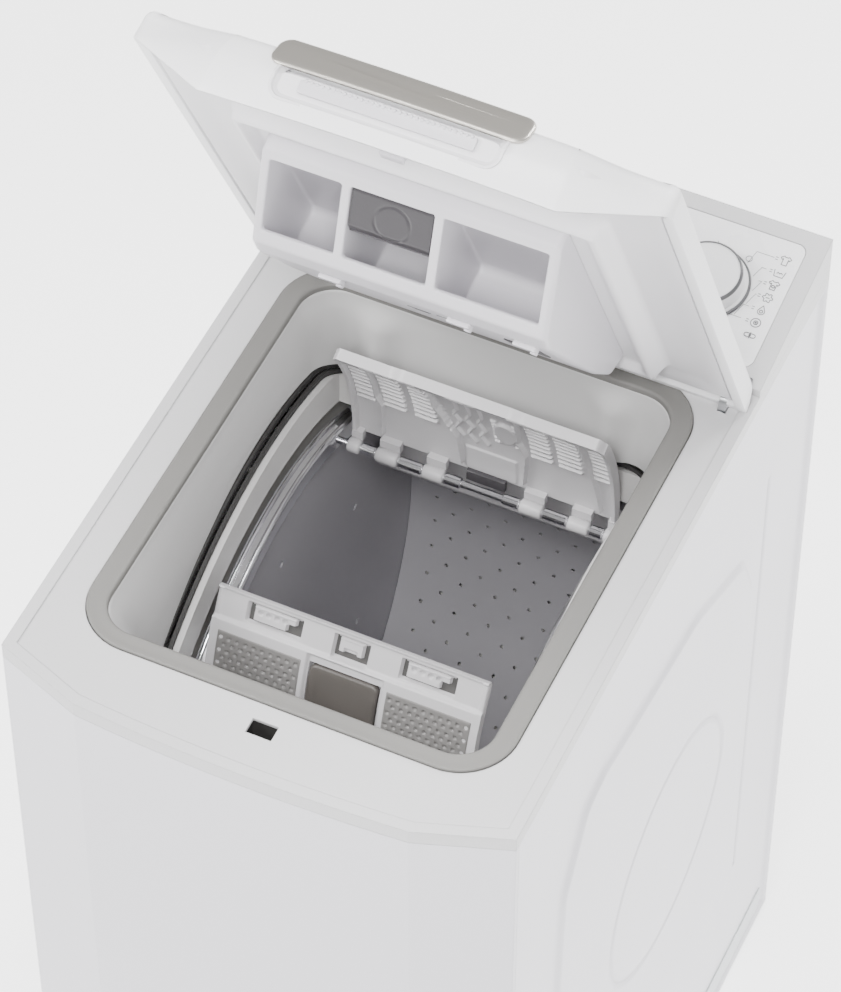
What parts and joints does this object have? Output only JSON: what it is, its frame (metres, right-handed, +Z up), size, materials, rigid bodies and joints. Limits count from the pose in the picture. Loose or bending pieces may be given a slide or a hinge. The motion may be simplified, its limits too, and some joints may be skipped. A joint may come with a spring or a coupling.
{
  "type": "top load washing machine",
  "caption": "Narrow top-loading washing machine: lift lid with built-in detergent dispenser, rear control console, sealed loading mouth and a suspended drum closed by a pair of flaps.",
  "frame": {"origin": "centre of the rest-pose bounding box on the floor, under the feet", "axes": "+X to the right seen from the front, +Y from the front panel to the rear, +Z up"},
  "size_m": [0.4, 0.61, 1.285],
  "materials": {
    "body_white": "satin",
    "frame_white": "satin",
    "liner_white": "satin",
    "seal_grey": "matte",
    "flap_grey": "satin",
    "button_dark": "satin",
    "handle_satin": "satin",
    "chrome": "polished",
    "drum_steel": "brushed",
    "plain_steel": "brushed",
    "galvanised": "matte",
    "tub_plastic": "matte",
    "dark_rubber": "matte",
    "dark_plastic": "matte",
    "cap_grey": "satin",
    "board_green": "satin",
    "iron": "matte",
    "zinc": "satin"
  },
  "bodies": {
    "cabinet": {"base_frame": "galvanised", "left_side_panel": "body_white", "right_side_panel": "body_white", "front_panel": "body_white", "rear_panel": "galvanised", "rear_access_cover": "galvanised", "top_frame": "frame_white", "collar": "frame_white", "collar_bellows": "dark_rubber", "lid_seal": "seal_grey", "lid_lock": "dark_plastic", "hinge_brackets": "plain_steel", "console_body": "frame_white", "console_fascia": "frame_white", "control_board": "board_green", "programme_switch": "dark_plastic", "inlet_valve": "tub_plastic", "fill_pipe": "tub_plastic", "drain_pump": "tub_plastic", "drain_pipe": "tub_plastic", "sump_hose": "dark_rubber", "cord_gland": "dark_plastic", "cabinet_screws": "zinc", "suspension_springs": "zinc", "damper_cylinders": "dark_plastic"},
    "tub_unit": {"damper_rods": "plain_steel", "tub_shell": "tub_plastic", "tub_ends": "tub_plastic", "tub_mouth": "tub_plastic", "bearings": "plain_steel", "counterweights": "iron", "drive_motor": "plain_steel", "heater": "plain_steel", "drive_belt": "dark_rubber"},
    "drum": {"drum_shell": "drum_steel", "drum_ends": "drum_steel", "drum_shafts": "plain_steel", "lifters": "flap_grey", "drum_pulley": "iron", "flap_hinge_rods": "chrome"},
    "motor_rotor": {"motor_pulley": "plain_steel"},
    "rear_flap": {"rear_flap": "flap_grey"},
    "front_flap": {"front_flap": "flap_grey"},
    "flap_button": {"flap_button": "button_dark"},
    "lid": {"lid_shell": "body_white", "lid_liner": "liner_white", "handle_bar": "handle_satin", "lid_hinge_pins": "plain_steel"},
    "lid_latch": {"lid_latch": "liner_white"},
    "dispenser": {"dispenser": "liner_white", "siphon_cap": "cap_grey"},
    "programme_knob": {"programme_knob": "frame_white"},
    "start_button": {"start_button": "flap_grey"},
    "filter_cap": {"filter_cap": "liner_white"},
    "filter_flap": {"filter_flap": "body_white"},
    "pump_impeller": {"pump_impeller": "dark_plastic"},
    "foot_front_left": {"foot_front_left": "dark_plastic"},
    "foot_front_right": {"foot_front_right": "dark_plastic"},
    "foot_rear_left": {"foot_rear_left": "dark_plastic"},
    "foot_rear_right": {"foot_rear_right": "dark_plastic"}
  },
  "joints": [
    {"name": "lid_hinge", "type": "hinge", "parent": "cabinet", "child": "lid", "pos_m": [0, 0.148, 0.866], "axis": [1, 0, 0], "range_deg": [0, 65]},
    {"name": "tub_bounce", "type": "slide", "parent": "cabinet", "child": "tub_unit", "axis": [0, 0, 1], "range_m": [-0.008, 0.008], "stiffness_N_per_m": 40000, "springref_m": 0.01346, "deforming": ["suspension_springs", "collar_bellows", "sump_hose"]},
    {"name": "drum_turn", "type": "hinge", "parent": "tub_unit", "child": "drum", "pos_m": [0, 0.0155, 0.51], "axis": [1, 0, 0], "range_deg": [-1.5, 5]},
    {"name": "motor_turn", "type": "hinge", "parent": "tub_unit", "child": "motor_rotor", "pos_m": [0, 0.175, 0.19], "axis": [1, 0, 0], "range_deg": [-19, 63]},
    {"name": "rear_flap_hinge", "type": "hinge", "parent": "drum", "child": "rear_flap", "pos_m": [0, 0.10653, 0.71445], "axis": [1, 0, 0], "range_deg": [0, 69.1]},
    {"name": "front_flap_hinge", "type": "hinge", "parent": "drum", "child": "front_flap", "pos_m": [0, -0.14749, 0.67299], "axis": [1, 0, 0], "range_deg": [-44.1, 0]},
    {"name": "flap_button_push", "type": "slide", "parent": "front_flap", "child": "flap_button", "axis": [0, 0.9483, -0.3173], "range_m": [0, 0.003], "stiffness_N_per_m": 600, "springref_m": -0.003},
    {"name": "lid_latch_pull", "type": "hinge", "parent": "lid", "child": "lid_latch", "pos_m": [0, -0.02717, 1.24994], "axis": [-1, 0, 0], "range_deg": [0, 5], "stiffness_Nm_per_rad": 0.6, "springref_deg": -11.46},
    {"name": "dispenser_pull", "type": "slide", "parent": "lid", "child": "dispenser", "axis": [0, -0.9063, -0.4226], "range_m": [0, 0.03]},
    {"name": "programme_turn", "type": "hinge", "parent": "cabinet", "child": "programme_knob", "pos_m": [0.127, 0.2343, 0.8916], "axis": [0, -0.1887, 0.982], "continuous": true},
    {"name": "start_push", "type": "slide", "parent": "cabinet", "child": "start_button", "axis": [0, 0.1887, -0.982], "range_m": [0, 0.002], "stiffness_N_per_m": 800, "springref_m": -0.002},
    {"name": "filter_cap_turn", "type": "hinge", "parent": "cabinet", "child": "filter_cap", "pos_m": [-0.088, -0.28, 0.085], "axis": [0, -1, 0], "range_deg": [0, 90]},
    {"name": "filter_flap_hinge", "type": "hinge", "parent": "cabinet", "child": "filter_flap", "pos_m": [-0.088, -0.2988, 0.042], "axis": [1, 0, 0], "range_deg": [0, 80]},
    {"name": "pump_spin", "type": "hinge", "parent": "cabinet", "child": "pump_impeller", "pos_m": [-0.05, -0.18, 0.085], "axis": [1, 0, 0], "continuous": true},
    {"name": "foot_front_left_screw", "type": "slide", "parent": "cabinet", "child": "foot_front_left", "axis": [0, 0, 1], "range_m": [-0.012, 0]},
    {"name": "foot_front_right_screw", "type": "slide", "parent": "cabinet", "child": "foot_front_right", "axis": [0, 0, 1], "range_m": [-0.012, 0]},
    {"name": "foot_rear_left_screw", "type": "slide", "parent": "cabinet", "child": "foot_rear_left", "axis": [0, 0, 1], "range_m": [-0.012, 0]},
    {"name": "foot_rear_right_screw", "type": "slide", "parent": "cabinet", "child": "foot_rear_right", "axis": [0, 0, 1], "range_m": [-0.012, 0]}
  ],
  "couplings": [
    {"joint": "rear_flap_hinge", "follows": "lid_hinge", "ratio": 1.0615},
    {"joint": "front_flap_hinge", "follows": "lid_hinge", "ratio": -0.67692},
    {"joint": "motor_turn", "follows": "drum_turn", "ratio": 12.546}
  ]
}
